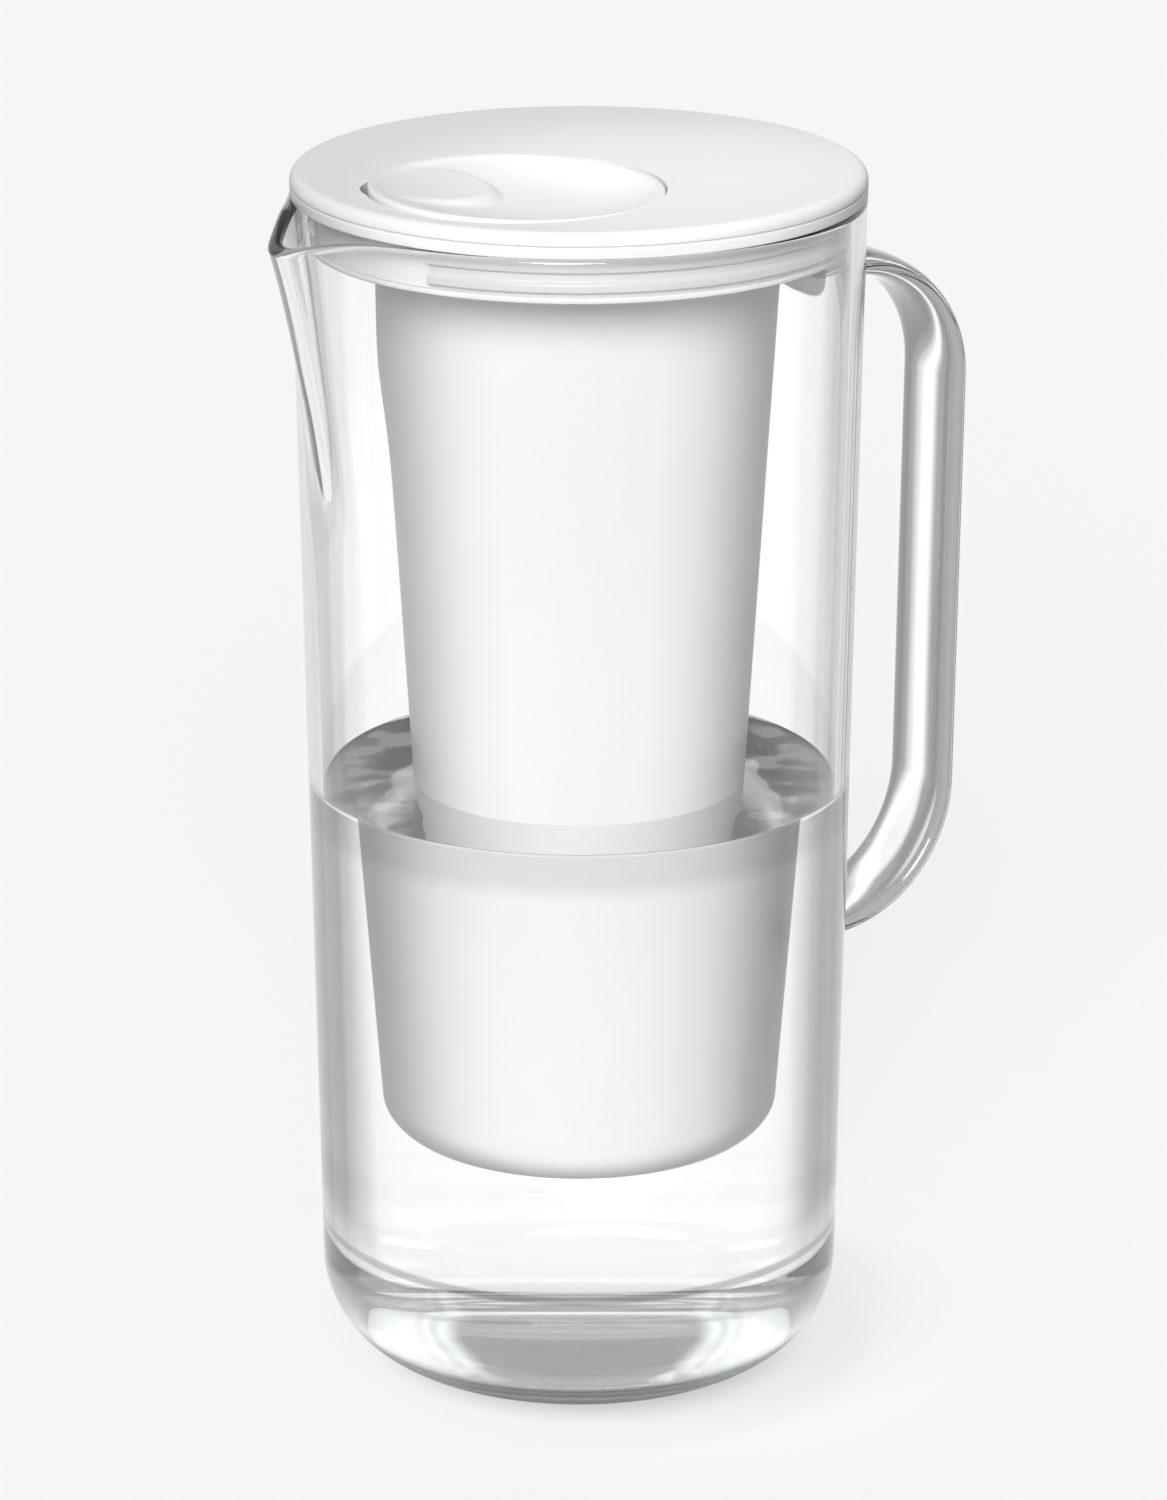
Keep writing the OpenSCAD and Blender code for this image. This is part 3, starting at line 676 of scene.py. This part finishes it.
# moulded plastics, rubber, steel and fillings: two close tones, a span of roughness, and what isn't usual
mouldedFinishes = {
    "whitePlastic": {"tones": ((0.83, 0.83, 0.83), (0.86, 0.86, 0.86)), "rough": (0.34, 0.42)},
    "lidPlastic": {"tones": ((0.83, 0.83, 0.83), (0.86, 0.86, 0.86)), "rough": (0.52, 0.6), "gloss": 0.2},
    "softSeal": {"tones": ((0.66, 0.67, 0.68), (0.72, 0.73, 0.74)), "rough": (0.26, 0.36),
                 "scale": 500, "bump": 0.08},
    "pinSteel": {"tones": ((0.58, 0.58, 0.59), (0.64, 0.64, 0.64)), "rough": (0.18, 0.3),
                 "scale": 2500, "metal": 1},
    "cartridgePlastic": {"tones": ((0.80, 0.81, 0.82), (0.84, 0.85, 0.86)), "rough": (0.4, 0.5)},
    "screenMesh": {"tones": ((0.66, 0.67, 0.68), (0.74, 0.75, 0.75)), "rough": (0.5, 0.6),
                   "scale": 1600, "bump": 0.4},
    "carbonGranules": {"tones": ((0.02, 0.02, 0.02), (0.06, 0.06, 0.06)), "rough": (0.4, 0.7),
                       "scale": 700, "bump": 1},
    "fleece": {"tones": ((0.78, 0.78, 0.76), (0.85, 0.85, 0.83)), "rough": (0.85, 0.95),
               "scale": 1400, "bump": 0.8},
    "resinBeads": {"tones": ((0.62, 0.47, 0.25), (0.75, 0.6, 0.36)), "rough": (0.3, 0.45), "bump": 0.9}}


def mouldedMaterial(name, tones, rough, scale=900, bump=0.05, gloss=0.5, metal=0, ior=1.49):
    material, tree, shader = newMaterial(name)
    surface, height = newNodes(tree, "Group", "Bump")
    surface.node_tree = grainGroup
    for socket, value in zip(("Scale", "Smooth", "Rough"), (scale, *rough)):
        surface.inputs[socket].default_value = value
    tone = mixNode(tree, "RGBA", surface.outputs["Cloud"], *((*colour, 1) for colour in tones))
    height.inputs["Strength"].default_value = bump
    height.inputs["Distance"].default_value = grain["depth"] * mm
    shader.inputs["IOR"].default_value = ior
    shader.inputs["Specular IOR Level"].default_value = gloss
    shader.inputs["Metallic"].default_value = metal
    link(tree, (tone, shader.inputs["Base Color"]),
         (surface.outputs["Roughness"], shader.inputs["Roughness"]),
         (surface.outputs["Height"], height.inputs["Height"]),
         (height.outputs["Normal"], shader.inputs["Normal"]))
    return material


# painted shade: the white cup's colour darkens towards its edges as seen, with a painted highlight band a
# little in from the middle
cupPaintedShade = {"tones": ((0.0, 0.96), (0.05, 0.97), (0.14, 1.05), (0.26, 1.06), (0.36, 0.99), (0.5, 0.87),
                      (0.72, 0.7), (1.0, 0.6))}


def paintCupShade(material):
    tree = material.node_tree
    shadeBase(tree, tree.nodes["Principled BSDF"], rampNode(tree, facing(tree), cupPaintedShade["tones"]))


# noise drawn out along Z, from -0.5 to 0.5
def drawLines(tree, scale, stretch=0.05):
    place, mapping, noise = newNodes(tree, "TexCoord", "Mapping", "TexNoise")
    mapping.inputs["Scale"].default_value = (1, 1, stretch)
    noise.inputs["Scale"].default_value = scale
    noise.inputs["Detail"].default_value = 0
    link(tree, (place.outputs["Object"], mapping.inputs["Vector"]),
         (mapping.outputs["Vector"], noise.inputs["Vector"]))
    return mathNode(tree, "SUBTRACT", noise.outputs["Fac"], 0.5)


# painted glow: light that has been mirrored this often inside the thick base or the spout is taken to end in
# a grey room, which the glass gives off there as its own light
caughtGlow = {"turns": 4, "light": 0.45, "from": 46.0, "to": 34.0, "spout": (-58.0, -54.0), "spoutShare": 0.35}


def paintCaughtGlow(tree, shader, path):
    near, far = (x * mm for x in caughtGlow["spout"])
    nose = rangeNode(tree, objectAxis(tree, "X"), near, far, caughtGlow["spoutShare"], 0)
    place = mathNode(tree, "MAXIMUM", below(tree, caughtGlow["to"], caughtGlow["from"]), nose)
    deep = mathNode(tree, "GREATER_THAN", path.outputs["Glossy Depth"], caughtGlow["turns"] - 0.5)
    tree.links.new(mathNode(tree, "MULTIPLY", deep, place), shader.inputs["Emission Color"])
    shader.inputs["Emission Strength"].default_value = caughtGlow["light"]


# clear tones are squared, because the shader takes the root of its colour, and a little cool
clearTint = {"power": 2, "cool": 0.985}


# clear glass or water with painted shade: greyer where light goes in at a slant, with painted streaks and
# other painted tones on patches, and lamps and bounced light pass straight through
def clearMaterial(name, ior, tones, lampTone, lineScale=0, lineShare=0.0, patches=()):
    material, tree, shader = newMaterial(name)
    for socket, value in (("Transmission Weight", 1), ("Roughness", 0), ("IOR", ior)):
        shader.inputs[socket].default_value = value
    slant = facing(tree)
    # painted streaks along Z are added to the slant
    if lineScale:
        lines = mathNode(tree, "MULTIPLY", drawLines(tree, lineScale), lineShare)
        slant = mathNode(tree, "ADD", slant, lines)

    def clearTone(stops):
        return rampNode(tree, slant, stops, **clearTint)

    tintAndPaintedShade = clearTone(tones)
    for patchTones, mask in patches:
        tintAndPaintedShade = mixNode(tree, "RGBA", mask(tree), tintAndPaintedShade, clearTone(patchTones))
    # light on its way out of the glass keeps its colour
    side = tree.nodes.new("ShaderNodeNewGeometry")
    tintAndPaintedShade = mixNode(tree, "RGBA", side.outputs["Backfacing"], tintAndPaintedShade, (1, 1, 1, 1))
    tree.links.new(tintAndPaintedShade, shader.inputs["Base Color"])
    path, through, mix = newNodes(tree, "LightPath", "BsdfTransparent", "MixShader")
    paintCaughtGlow(tree, shader, path)
    material.cycles.emission_sampling = "NONE"
    through.inputs["Color"].default_value = (lampTone, lampTone, lampTone, 1)
    either = mathNode(tree, "MAXIMUM", path.outputs["Is Shadow Ray"], path.outputs["Is Diffuse Ray"])
    link(tree, (either, mix.inputs["Fac"]), (shader.outputs["BSDF"], mix.inputs[1]),
         (through.outputs["BSDF"], mix.inputs[2]),
         (mix.outputs["Shader"], tree.nodes["Material Output"].inputs["Surface"]))
    return material, tree, shader


# painted shade: tones of the glass by slant, from facing to edge on, with painted streaks along Z
wallGlass = {"ior": 1.5, "lampTone": 0.95, "lineScale": 150, "lineShare": 0.16,
             "tones": ((0.45, 1.0), (0.5, 0.92), (0.54, 0.86), (0.575, 0.87), (0.62, 0.77), (0.68, 0.76),
                       (0.74, 0.62), (0.82, 0.66), (0.92, 0.55), (1.0, 0.35))}
# painted shade in the thick base: greyer at a slant, between these heights
footPaintedShade = {"tones": ((0.72, 1.0), (0.86, 0.85), (1.0, 0.45)), "from": 34.0, "to": 21.0}
solePaintedShade = {"tones": ((0.28, 1.0), (0.38, 0.5), (0.48, 0.24), (0.7, 0.18), (1.0, 0.18)), "from": 12.0,
             "to": 8.0, "down": -0.1}
# painted shade on the spout, by slant
spoutPaintedShade = {"tones": ((0.0, 0.95), (0.3, 0.9), (0.45, 0.8), (0.55, 0.9), (0.65, 0.78), (0.78, 0.86),
                        (0.9, 0.7), (1.0, 0.55))}
rootPaintedShade = {"tones": ((0.0, 0.2), (1.0, 0.16)), "wide": 12.0, "tall": 6.2, "roundness": 2.5,
             "edge": (0.85, 1.1), "inward": -0.2}


def onFoot(tree):
    return below(tree, footPaintedShade["to"], footPaintedShade["from"])


# painted shade: a dark outline on the outside of the base only, where the surface faces down
def onSole(tree):
    down = rangeNode(tree, normalAxis(tree, "Z"), solePaintedShade["down"], 0, 1, 0)
    return mathNode(tree, "MULTIPLY", below(tree, solePaintedShade["to"], solePaintedShade["from"]), down)


def onSpout(tree):
    mark = tree.nodes.new("ShaderNodeAttribute")
    mark.attribute_name = "spoutShare"
    return mark.outputs["Fac"]


# painted shade: a dark oval on the inside of the wall, where the upper end of the handle is fused to it
def onRoot(tree):
    def outOf(axis, centre, half):
        away = mathNode(tree, "SUBTRACT", objectAxis(tree, axis), centre * mm)
        share = mathNode(tree, "MULTIPLY", mathNode(tree, "ABSOLUTE", away), 1 / (half * mm))
        return mathNode(tree, "POWER", share, rootPaintedShade["roundness"])

    outY, outZ = outOf("Y", 0, rootPaintedShade["wide"]), outOf("Z", handle["topZ"], rootPaintedShade["tall"])
    oval = rangeNode(tree, mathNode(tree, "ADD", outY, outZ), *rootPaintedShade["edge"], 1, 0)
    inward = rangeNode(tree, normalAxis(tree, "X"), rootPaintedShade["inward"], 0, 1, 0)
    handleSide = rangeNode(tree, objectAxis(tree, "X"), 0, mm, 0, 1)
    return mathNode(tree, "MULTIPLY", mathNode(tree, "MULTIPLY", oval, inward), handleSide)


wallPatches = ((spoutPaintedShade["tones"], onSpout), (rootPaintedShade["tones"], onRoot), (footPaintedShade["tones"], onFoot),
               (solePaintedShade["tones"], onSole))

# painted highlight and shade: the handle's colour has a bright streak between grey edges, by slant
handleGlass = {"ior": 1.5, "lampTone": 0.95, "lineScale": 220, "lineShare": 0.03,
               "tones": ((0.0, 0.42), (0.1, 0.41), (0.19, 0.38), (0.26, 0.31), (0.315, 0.36), (0.355, 0.38),
                         (0.38, 0.6), (0.4, 0.88), (0.415, 1.0), (0.45, 1.0), (0.468, 0.74), (0.5, 0.38),
                         (0.555, 0.22), (0.65, 0.2), (1.0, 0.2))}
# its two broad sides have their own painted tones: clear along the middle, and all over where they face the
# eye
broadPaintedShade = {"tones": ((0.0, 0.95), (0.38, 0.9), (0.415, 1.0), (0.45, 1.0), (0.468, 0.74), (0.5, 0.38),
                        (0.555, 0.22), (1.0, 0.2)),
              "middle": (0.04, 0.1), "whole": (0.3, 0.42), "slant": (0.14, 0.22)}


def onBroad(tree):
    across = mathNode(tree, "ABSOLUTE", normalAxis(tree, "Y"))
    middle = rangeNode(tree, across, *broadPaintedShade["middle"], 1, 0)
    whole = rangeNode(tree, across, *broadPaintedShade["whole"], 1, 0)
    toEye = rangeNode(tree, facing(tree), *broadPaintedShade["slant"], 1, 0)
    return mathNode(tree, "MAXIMUM", middle, mathNode(tree, "MULTIPLY", whole, toEye))


# water with painted shade: greyer to the sides, a flat painted grey on its level top with faint ripples,
# clear near the floor, a painted dark line round the top of the thick base, and a painted grey band under the
# level
clearWater = {"ior": 1.33, "lampTone": 0.99, "topTone": 0.88, "topSkin": (0.5, 0.4), "lowTone": 1.0,
              "lowFrom": 40.0, "lowTo": 27.0, "ringTone": 0.6, "ringZ": 30.4, "ringHalf": (0.5, 1.3),
              "bandTone": 0.68, "bandDepth": (11.4, 5.4), "rippleScale": 60, "rippleDetail": 1,
              "rippleDepth": 4.0, "ripple": 0.28,
              "tones": ((0.03, 1.0), (0.06, 0.98), (0.085, 0.98), (0.12, 0.97), (0.15, 0.96), (0.178, 0.9),
                        (0.205, 0.66), (0.23, 0.45), (0.3, 0.46))}


# a value that changes softly between two depths under the level
def underLevel(tree, depths, toLow, toHigh):
    low, high = ((water["level"] - depth) * mm for depth in depths)
    return rangeNode(tree, objectAxis(tree, "Z"), low, high, toLow, toHigh)


def makeWaterFinish():
    def onTop(tree):
        return underLevel(tree, clearWater["topSkin"], 0, 1)

    def nearFloor(tree):
        return below(tree, clearWater["lowTo"], clearWater["lowFrom"])

    def onRing(tree):
        up = mathNode(tree, "SUBTRACT", objectAxis(tree, "Z"), clearWater["ringZ"] * mm)
        near, far = (half * mm for half in clearWater["ringHalf"])
        return rangeNode(tree, mathNode(tree, "ABSOLUTE", up), near, far, 1, 0)

    def flat(tone):
        return (0.0, tone), (1.0, tone)

    patches = ((flat(clearWater["topTone"]), onTop), (flat(clearWater["lowTone"]), nearFloor),
               (flat(clearWater["ringTone"]), onRing))
    material, tree, shader = clearMaterial("jugWater", clearWater["ior"], clearWater["tones"],
                                           clearWater["lampTone"], patches=patches)
    # painted shade: a grey band under the level
    band = underLevel(tree, clearWater["bandDepth"], 1, clearWater["bandTone"])
    shadeBase(tree, shader, mathNode(tree, "MAXIMUM", band, onTop(tree)))
    place, noise, bump = newNodes(tree, "TexCoord", "TexNoise", "Bump")
    noise.inputs["Scale"].default_value = clearWater["rippleScale"]
    noise.inputs["Detail"].default_value = clearWater["rippleDetail"]
    bump.inputs["Distance"].default_value = clearWater["rippleDepth"] * mm
    strength = mathNode(tree, "MULTIPLY", onTop(tree), clearWater["ripple"])
    link(tree, (place.outputs["Object"], noise.inputs["Vector"]),
         (noise.outputs["Fac"], bump.inputs["Height"]), (strength, bump.inputs["Strength"]),
         (bump.outputs["Normal"], shader.inputs["Normal"]))
    return material


def dress(piece, material):
    piece.data.materials.clear()
    piece.data.materials.append(material)


# true for rays that come from polished or clear surfaces
def clearRays(tree):
    path = tree.nodes.new("ShaderNodeLightPath")
    return mathNode(tree, "MAXIMUM", path.outputs["Is Transmission Ray"], path.outputs["Is Glossy Ray"])


# pale floor: painted dark flags on both sides for bounced light only, plain white for what glass shows of it
# with a painted shadow ring where the jug's rounded edge comes close, and painted soft contact shadows for
# the camera, each as its place to the right and back, its near and far edge, and its tone
floorSheet = {"size": 6000.0, "gap": 0.3, "cuts": 3, "tone": 0.905, "rough": 0.9, "flag": (70.0, 260.0),
              "flagTone": 0.4, "clearLight": 1.02, "ringIn": (30.0, 34.0), "ringOut": (41.0, 54.0),
              "ringTone": 0.3, "paper": 0.97, "paperShare": 0.8,
              "contact": ((2.0, 0.0, 33.0, 50.0, 0.58), (14.0, 14.0, 42.0, 75.0, 0.88))}


# how bright glass sees the floor, with a painted shadow ring round the jug's edge
def floorGlow(tree, place):
    reach = vectorNode(tree, "LENGTH", place)
    inFrom, inTo, outFrom, outTo = (edge * mm for edge in (*floorSheet["ringIn"], *floorSheet["ringOut"]))
    inner = rangeNode(tree, reach, inFrom, inTo, floorSheet["clearLight"], 0)
    outer = rangeNode(tree, reach, outFrom, outTo, floorSheet["ringTone"], floorSheet["clearLight"])
    return mathNode(tree, "MAXIMUM", inner, outer)


# painted contact shadows on the floor's paper tone
def contactShade(tree, place):
    right, away = viewAxes()
    contact = 1
    for side, back, near, far, tone in floorSheet["contact"]:
        reach = vectorNode(tree, "DISTANCE", place, (right * side + away * back) * mm)
        contact = mathNode(tree, "MULTIPLY", contact, rangeNode(tree, reach, near * mm, far * mm, tone, 1))
    return contact


def makeFloor():
    deselect()
    bpy.ops.mesh.primitive_plane_add(size=floorSheet["size"] * mm, location=(0, 0, -floorSheet["gap"] * mm))
    floor = bpy.context.object
    floor.name = "paleFloor"
    bpy.ops.object.transform_apply(location=True, rotation=False, scale=False)
    editAll(floor)
    bpy.ops.mesh.subdivide(number_cuts=floorSheet["cuts"])
    deselect()
    material, tree, shader = newMaterial("paleFloorFinish")
    shader.inputs["Roughness"].default_value = floorSheet["rough"]
    shader.inputs["Specular IOR Level"].default_value = 0
    place = tree.nodes.new("ShaderNodeTexCoord").outputs["Object"]
    path = tree.nodes.new("ShaderNodeLightPath")
    across = mathNode(tree, "ABSOLUTE", vectorNode(tree, "DOT_PRODUCT", place, viewAxes()[0]))
    near, far = (edge * mm for edge in floorSheet["flag"])
    flag = rangeNode(tree, across, near, far, 0, floorSheet["tone"] * (1 - floorSheet["flagTone"]))
    flag = mathNode(tree, "MULTIPLY", flag, path.outputs["Is Diffuse Ray"])
    tree.links.new(mathNode(tree, "SUBTRACT", floorSheet["tone"], flag), shader.inputs["Base Color"])
    glow, paper, blend, mix = newNodes(tree, "Emission", "Emission", "MixShader", "MixShader")
    paper.inputs["Color"].default_value = (floorSheet["paper"],) * 3 + (1,)
    # the camera sees mostly the paper's own tone, so that the shadow stays light
    paperShare = mathNode(tree, "MULTIPLY", path.outputs["Is Camera Ray"], floorSheet["paperShare"])
    link(tree, (floorGlow(tree, place), glow.inputs["Strength"]),
         (contactShade(tree, place), paper.inputs["Strength"]), (paperShare, blend.inputs["Fac"]),
         (shader.outputs["BSDF"], blend.inputs[1]), (paper.outputs["Emission"], blend.inputs[2]),
         (clearRays(tree), mix.inputs["Fac"]), (blend.outputs["Shader"], mix.inputs[1]),
         (glow.outputs["Emission"], mix.inputs[2]),
         (mix.outputs["Shader"], tree.nodes["Material Output"].inputs["Surface"]))
    dress(floor, material)


# white room, darker to both sides and overhead, with a grey card above the horizon on each of four sides
room = {"light": 0.34, "side": (0.3, 0.85), "sideShare": 0.15, "top": (35, 60), "topShare": 0.6}
card = {"wide": 20.0, "tall": 17.0, "middle": 32.0, "reach": 1.4,
        "tones": ((0.0, 0.36), (0.62, 0.33), (0.7, 1.15), (0.75, 0.8), (0.79, 1.15), (0.84, 0.95),
                  (0.9, 1.15))}


# distance from the middle of the nearest card, as a share of its half width and half height
def cardSpread(tree, across, ahead, rise):
    quarter = radians(90)
    # four quarters keep the angle above 0, and the half puts a card in the middle of each side
    swing = mathNode(tree, "ADD", mathNode(tree, "ARCTAN2", across, ahead), 4.5 * quarter)
    swing = mathNode(tree, "SUBTRACT", mathNode(tree, "MODULO", swing, quarter), quarter / 2)
    swing = mathNode(tree, "MULTIPLY", swing, 1 / radians(card["wide"]))
    lift = mathNode(tree, "SUBTRACT", rise, radians(card["middle"]))
    lift = mathNode(tree, "MULTIPLY", lift, 1 / radians(card["tall"]))
    swingSquare, liftSquare = (mathNode(tree, "MULTIPLY", way, way) for way in (swing, lift))
    spread = mathNode(tree, "SQRT", mathNode(tree, "ADD", swingSquare, liftSquare))
    return mathNode(tree, "MULTIPLY", spread, 1 / card["reach"])


def makeWorld():
    world = bpy.data.worlds.new("studio")
    bpy.context.scene.world = world
    world.use_nodes = True
    tree = world.node_tree
    toward = tree.nodes.new("ShaderNodeTexCoord").outputs["Generated"]
    across, ahead, up = (vectorNode(tree, "DOT_PRODUCT", toward, axis) for axis in (*viewAxes(), (0, 0, 1)))
    rise = mathNode(tree, "ARCSINE", up)
    topFrom, topTo = (radians(height) for height in room["top"])
    light = rangeNode(tree, mathNode(tree, "ABSOLUTE", across), *room["side"], room["light"],
                      room["light"] * room["sideShare"])
    light = mathNode(tree, "MULTIPLY", light, rangeNode(tree, rise, topFrom, topTo, 1, room["topShare"]))
    cards = rampNode(tree, cardSpread(tree, across, ahead, rise), card["tones"])
    tone = mixNode(tree, "FLOAT", clearRays(tree), light, cards)
    path = tree.nodes.new("ShaderNodeLightPath")
    tone = mixNode(tree, "FLOAT", path.outputs["Is Camera Ray"], tone, floorSheet["tone"])
    tree.links.new(tone, tree.nodes["Background"].inputs["Color"])


# soft light from the front, and a weak one from behind that glass and gloss don't mirror
frontLight = {"power": 3.25, "azimuth": -37, "height": 31, "softness": 30, "mirrored": True}
backFill = {"power": 0.36, "azimuth": 160, "height": 35, "softness": 60, "mirrored": False}


def sunLight(name, sun):
    deselect()
    bpy.ops.object.light_add(type="SUN", location=(0, 0, 1))
    lamp = bpy.context.object
    lamp.name = name
    lamp.data.energy = sun["power"]
    lamp.data.angle = radians(sun["softness"])
    turn, rise = radians(sun["azimuth"]), radians(sun["height"])
    toLamp = Vector((sin(turn) * cos(rise), -cos(turn) * cos(rise), sin(rise)))
    lamp.rotation_euler = toLamp.to_track_quat("Z", "Y").to_euler()
    lamp.visible_glossy = sun["mirrored"]
    lamp.visible_transmission = sun["mirrored"]


# soft pool of light on the lid, from high overhead
overhead = {"power": 66.0, "right": 20.0, "back": -14.0, "height": 3000.0, "wide": 72.0, "size": 8.0}


def poolLight():
    right, away = viewAxes()
    place = right * overhead["right"] + away * overhead["back"] + Vector((0, 0, overhead["height"]))
    deselect()
    bpy.ops.object.light_add(type="SPOT", location=place * mm)
    lamp = bpy.context.object
    lamp.name = "overheadPool"
    lamp.data.energy = overhead["power"]
    lamp.data.spot_size = 2 * atan(overhead["wide"] / (overhead["height"] - lidTop))
    lamp.data.spot_blend = 1
    lamp.data.shadow_soft_size = overhead["size"] * mm


# put it together
makeCamera()
print("camera in place")

jugGlass = makeJug()
print("jug and handle:", len(jugGlass.data.vertices), "vertices")
jugWater = makeWater()
reservoirWhite = makeReservoir()
sealBands = makeSeal()
print("reservoir, seal and water modelled")
lidCover = makeLid()
fillFlap = makeFlap()
print("lid and flap modelled")

wallFinish = clearMaterial("clearGlass", **wallGlass, patches=wallPatches)[0]
handleFinish = clearMaterial("handleGlass", **handleGlass, patches=((broadPaintedShade["tones"], onBroad),))[0]
waterFinish = makeWaterFinish()
finishes = {name: mouldedMaterial(name, **finish) for name, finish in mouldedFinishes.items()}
# the reservoir's white plastic gets its painted shade and highlight
paintCupShade(finishes["whitePlastic"])

for piece, finish, body, slot, replaced in (
        (jugGlass, wallFinish, "jug", "clear_glass", ("jug_body", "handle")),
        (jugWater, waterFinish, "jug", "clear_glass", ()),
        (reservoirWhite, finishes["whitePlastic"], "reservoir", "white_plastic", ("reservoir",)),
        (sealBands, finishes["softSeal"], "reservoir", "soft_seal", ("mouth_seal",)),
        (lidCover, finishes["lidPlastic"], "lid", "white_plastic", ("lid_cover",)),
        (fillFlap, finishes["lidPlastic"], "flap", "white_plastic", ("fill_flap",))):
    dress(piece, finish)
    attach(piece, body)
    if replaced:
        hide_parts(*replaced)

# faces outside the wall on the handle's side take the handle's glass
handleOut = 0.2
jugGlass.data.materials.append(handleFinish)
for face in jugGlass.data.polygons:
    x, y, z = face.center / mm
    face.material_index = int(x > 0 and hypot(x, y) > jugR(z) + handleOut)

# CAD meshes that only get a finish
keptNodes = {"lid_gasket": "softSeal", "hinge_pins": "pinSteel", "cartridge_shell": "cartridgePlastic",
             "cartridge_cap": "cartridgePlastic", "upper_screen": "screenMesh",
             "carbon_bed": "carbonGranules", "fleece_divider": "fleece", "resin_bed": "resinBeads",
             "lower_screen": "screenMesh", "outlet_grid": "cartridgePlastic", "cartridge_seal": "softSeal"}
for node, finish in keptNodes.items():
    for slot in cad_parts[node].material_slots:
        slot.material = finishes[finish]
print("finishes set")

makeFloor()
makeWorld()
sunLight("frontLight", frontLight)
sunLight("backFill", backFill)
poolLight()
bpy.context.scene.view_settings.view_transform = "Standard"
print("floor and light set")
